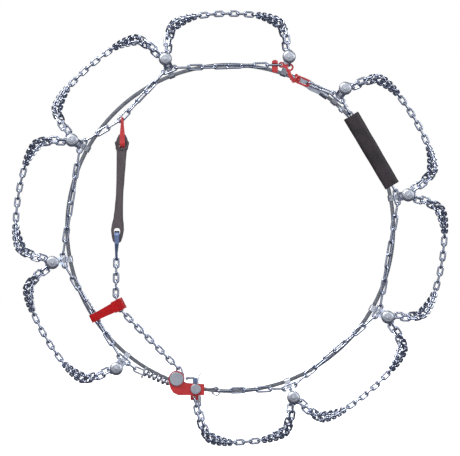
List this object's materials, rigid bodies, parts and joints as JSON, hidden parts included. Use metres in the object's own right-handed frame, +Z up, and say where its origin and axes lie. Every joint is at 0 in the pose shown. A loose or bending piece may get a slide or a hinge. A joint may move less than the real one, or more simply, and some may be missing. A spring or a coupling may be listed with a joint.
{
  "type": "tyre snow chain",
  "caption": "Snow chain fitted round a car tyre: steel side chain, cross chains over the tread, inner hoop, closing hook, rubber tensioner and ratchet block.",
  "frame": {"origin": "centre of the wheel the chain is fitted to, on its axle and its middle plane", "axes": "+Y along the axle towards the car, -Y towards the outer side, +X right seen from outside, +Z up"},
  "size_m": [0.6546, 0.2435, 0.6548],
  "materials": {
    "zinc": "bright zinc plate",
    "dome": "satin zinc",
    "red_paint": "gloss red",
    "guide_red": "gloss deep red",
    "blue_grey": "blue-grey passivated",
    "die_cast": "plated die-cast",
    "spring_steel": "plated spring steel",
    "cable": "coated steel cable",
    "rubber": "matt rubber",
    "sleeve": "matt soft plastic"
  },
  "bodies": {
    "net": {"anchor_pin": "spring_steel", "block_front": "red_paint", "block_rear": "red_paint", "closing_hook": "red_paint", "closing_link_1": "zinc", "closing_link_2": "zinc", "coupling_clevis": "spring_steel", "coupling_hook": "spring_steel", "coupling_pin": "spring_steel", "dome_rivets": "dome", "first_clip": "zinc", "inner_cable": "cable", "inner_clips": "dome", "inner_rivets": "dome", "junction_rings": "zinc", "latch_rivet": "spring_steel", "link_tag": "red_paint", "node_clips": "zinc", "node_links": "zinc", "pawl_pivot": "dome", "pawl_spring": "spring_steel", "roller_axle": "dome", "rubber_tensioner": "rubber", "side_chain_a_b": "zinc", "side_chain_c_d": "zinc", "side_chain_d_e": "zinc", "side_chain_e_f": "zinc", "side_chain_f_block": "zinc", "side_chain_h_i": "zinc", "side_chain_i_j": "zinc", "side_chain_j_a": "zinc", "spring_link": "zinc", "spring_plug": "spring_steel", "tension_chain": "zinc", "tension_hook": "red_paint", "tension_spring": "spring_steel", "tread_chain_1": "zinc", "tread_chain_2": "zinc", "tread_chain_3": "zinc", "tread_chain_4": "zinc", "tread_chain_5": "zinc", "tread_chain_6": "zinc", "tread_chain_7": "zinc", "tread_chain_8": "zinc"},
    "roller": {"chain_roller": "die_cast"},
    "pawl": {"pawl": "spring_steel", "release_tab": "blue_grey"},
    "pull_eye": {"pull_eye": "spring_steel"},
    "eye_hook": {"eye_hook": "spring_steel"},
    "end_link": {"end_link": "red_paint"},
    "coupling_latch": {"coupling_latch": "spring_steel"},
    "sleeve": {"chain_sleeve": "sleeve"},
    "guide": {"guide_bar": "guide_red", "guide_loop": "guide_red"},
    "strap_hook": {"strap_hook": "blue_grey"},
    "sleeve_clip": {"sleeve_clip": "spring_steel", "toggle_bar": "zinc"}
  },
  "joints": [
    {"name": "chain_roller_spin", "type": "hinge", "parent": "net", "child": "roller", "pos_m": [-0.0792, -0.112, -0.2226], "axis": [0, 1, 0], "continuous": true},
    {"name": "pawl_release", "type": "hinge", "parent": "net", "child": "pawl", "pos_m": [-0.051, -0.112, -0.2376], "axis": [0, 1, 0], "range_deg": [0, 15], "stiffness_Nm_per_rad": 0.05, "springref_deg": -11.46},
    {"name": "spring_stretch", "type": "slide", "parent": "net", "child": "pull_eye", "axis": [-0.9174, 0, 0.3979], "range_m": [0, 0.004], "stiffness_N_per_m": 4000, "deforming": ["tension_spring"]},
    {"name": "eye_hook_swivel", "type": "hinge", "parent": "net", "child": "eye_hook", "pos_m": [-0.04, -0.112, -0.2373], "axis": [1, 0, 0], "range_deg": [-5, 5]},
    {"name": "end_link_lift", "type": "hinge", "parent": "net", "child": "end_link", "pos_m": [0.11684, -0.112, 0.21257], "axis": [0.3741, 0, 0.9274], "range_deg": [0, 30]},
    {"name": "coupling_latch_turn", "type": "hinge", "parent": "net", "child": "coupling_latch", "pos_m": [0.13524, 0.112, 0.21233], "axis": [0, 1, 0], "range_deg": [0, 50]},
    {"name": "sleeve_slide", "type": "slide", "parent": "net", "child": "sleeve", "axis": [0.5075, 0, -0.8616], "range_m": [-0.003, 0.003]},
    {"name": "sleeve_clip_swing", "type": "hinge", "parent": "net", "child": "sleeve_clip", "pos_m": [0.17059, -0.1154, 0.17876], "axis": [0.5075, 0, -0.8616], "range_deg": [-10, 10]},
    {"name": "guide_swing", "type": "hinge", "parent": "net", "child": "guide", "pos_m": [-0.19861, -0.112, -0.131], "axis": [0, 1, 0], "range_deg": [-3, 3]},
    {"name": "tensioner_stretch", "type": "slide", "parent": "net", "child": "strap_hook", "axis": [0, 0, -1], "range_m": [0, 0.004], "stiffness_N_per_m": 3000, "deforming": ["rubber_tensioner"]}
  ]
}
